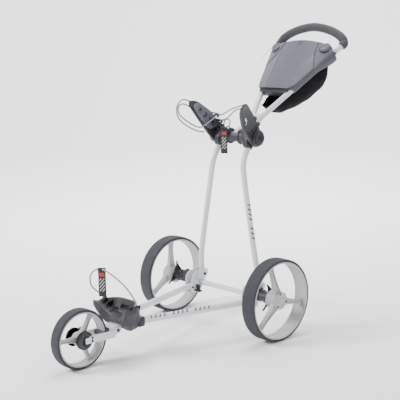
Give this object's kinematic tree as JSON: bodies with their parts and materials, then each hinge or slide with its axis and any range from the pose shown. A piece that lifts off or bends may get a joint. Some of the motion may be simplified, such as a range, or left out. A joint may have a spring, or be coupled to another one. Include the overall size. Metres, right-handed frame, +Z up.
{
  "type": "golf push cart",
  "caption": "Three-wheel folding golf push cart with upper and lower bag cradles, elastic cords, lidded console with net pocket and a bow grip.",
  "frame": {"origin": "on the ground below the middle of the whole cart, front wheel to grip", "axes": "+Z up, -Y the way the cart travels, +X to the left of the person who pushes it"},
  "size_m": [0.588, 1.2812, 1.0869],
  "materials": {
    "frame_paint": "very light grey gloss paint",
    "charcoal_plastic": "moulded charcoal plastic, fine satin grain",
    "black_plastic": "black moulded plastic",
    "black_steel": "black coated steel fasteners",
    "rim_plastic": "light warm grey moulded plastic",
    "tyre": "dark grey foam tread",
    "console_plastic": "mid grey satin plastic",
    "steel": "plain steel",
    "grip_foam": "dark grey closed cell foam",
    "net": "black open mesh",
    "webbing": "black woven webbing",
    "elastic": "grey braided elastic cord"
  },
  "bodies": {
    "chassis": {"rear_left_axle": "steel", "rear_left_axle_housing": "charcoal_plastic", "rear_right_axle": "steel", "rear_right_axle_housing": "charcoal_plastic", "rear_bracket_left": "frame_paint", "lower_tube_left": "frame_paint", "upright_hinge_bolt_left": "black_steel", "rear_bracket_right": "frame_paint", "lower_tube_right": "frame_paint", "upright_hinge_bolt_right": "black_steel", "rear_cross_tube": "frame_paint", "fork_bracket": "frame_paint", "fork_hinge_bolt": "black_steel", "lower_bracket": "charcoal_plastic", "elastic_cord_lower": "elastic", "pull_tag_lower": "webbing"},
    "rear_wheel_left": {"rear_left_tyre": "tyre", "rear_left_rim": "rim_plastic", "rear_left_star_plate": "black_plastic", "rear_left_hub_cap": "rim_plastic"},
    "rear_wheel_right": {"rear_right_tyre": "tyre", "rear_right_rim": "rim_plastic", "rear_right_star_plate": "black_plastic", "rear_right_hub_cap": "rim_plastic"},
    "release_left": {"rear_left_release_button": "black_plastic"},
    "release_right": {"rear_right_release_button": "black_plastic"},
    "brake": {"brake_pedal": "black_plastic"},
    "mast": {"upright_left": "frame_paint", "upright_right": "frame_paint", "upper_crossbar": "charcoal_plastic", "handle_hinge_pin": "steel", "wing_left": "charcoal_plastic", "wing_pad_left": "charcoal_plastic", "wing_right": "charcoal_plastic", "wing_pad_right": "charcoal_plastic", "hinge_cap_left": "charcoal_plastic", "hinge_cap_right": "charcoal_plastic", "elastic_cord_outer": "elastic", "elastic_cord_inner": "elastic", "elastic_cord_pull": "elastic", "pull_tag_upper": "webbing"},
    "handle": {"handle_tube_left": "frame_paint", "handle_tube_right": "frame_paint", "handle_yoke": "frame_paint", "grip": "grip_foam", "console_frame": "charcoal_plastic", "console_shoulder_left": "console_plastic", "console_shoulder_right": "console_plastic", "lid_hinge_pin": "steel", "net_pocket": "net"},
    "lid": {"console_lid": "console_plastic"},
    "front_fork": {"fork_arm_left": "frame_paint", "fork_hub_cover_left": "charcoal_plastic", "fork_arm_right": "frame_paint", "fork_hub_cover_right": "charcoal_plastic", "front_axle": "steel", "fork_block": "charcoal_plastic"},
    "front_wheel": {"front_tyre": "tyre", "front_rim": "rim_plastic", "front_star_plate": "black_plastic"}
  },
  "joints": [
    {"name": "rear_left_spin", "type": "hinge", "parent": "chassis", "child": "rear_wheel_left", "pos_m": [0.267, 0.10605, 0.14469], "axis": [1, 0, 0], "continuous": true},
    {"name": "rear_right_spin", "type": "hinge", "parent": "chassis", "child": "rear_wheel_right", "pos_m": [-0.267, 0.10605, 0.14469], "axis": [1, 0, 0], "continuous": true},
    {"name": "release_left_press", "type": "slide", "parent": "chassis", "child": "release_left", "axis": [0, 0, -1], "range_m": [0, 0.003], "stiffness_N_per_m": 400, "springref_m": -0.002},
    {"name": "release_right_press", "type": "slide", "parent": "chassis", "child": "release_right", "axis": [0, 0, -1], "range_m": [0, 0.003], "stiffness_N_per_m": 400, "springref_m": -0.002},
    {"name": "brake_press", "type": "hinge", "parent": "chassis", "child": "brake", "pos_m": [-0.12, 0.10305, 0.12069], "axis": [1, 0, 0], "range_deg": [0, 20]},
    {"name": "mast_fold", "type": "hinge", "parent": "chassis", "child": "mast", "pos_m": [0, 0.14605, 0.1597], "axis": [1, 0, 0], "range_deg": [0, 70]},
    {"name": "handle_fold", "type": "hinge", "parent": "mast", "child": "handle", "pos_m": [0, 0.19105, 0.68769], "axis": [-1, 0, 0], "range_deg": [0, 120]},
    {"name": "lid_open", "type": "hinge", "parent": "handle", "child": "lid", "pos_m": [0, 0.3924, 0.83764], "axis": [1, 0, 0], "range_deg": [0, 75]},
    {"name": "front_fold", "type": "hinge", "parent": "chassis", "child": "front_fork", "pos_m": [0, -0.40195, 0.0997], "axis": [1, 0, 0], "range_deg": [0, 125]},
    {"name": "front_spin", "type": "hinge", "parent": "front_fork", "child": "front_wheel", "pos_m": [0, -0.54195, 0.0987], "axis": [1, 0, 0], "continuous": true}
  ]
}
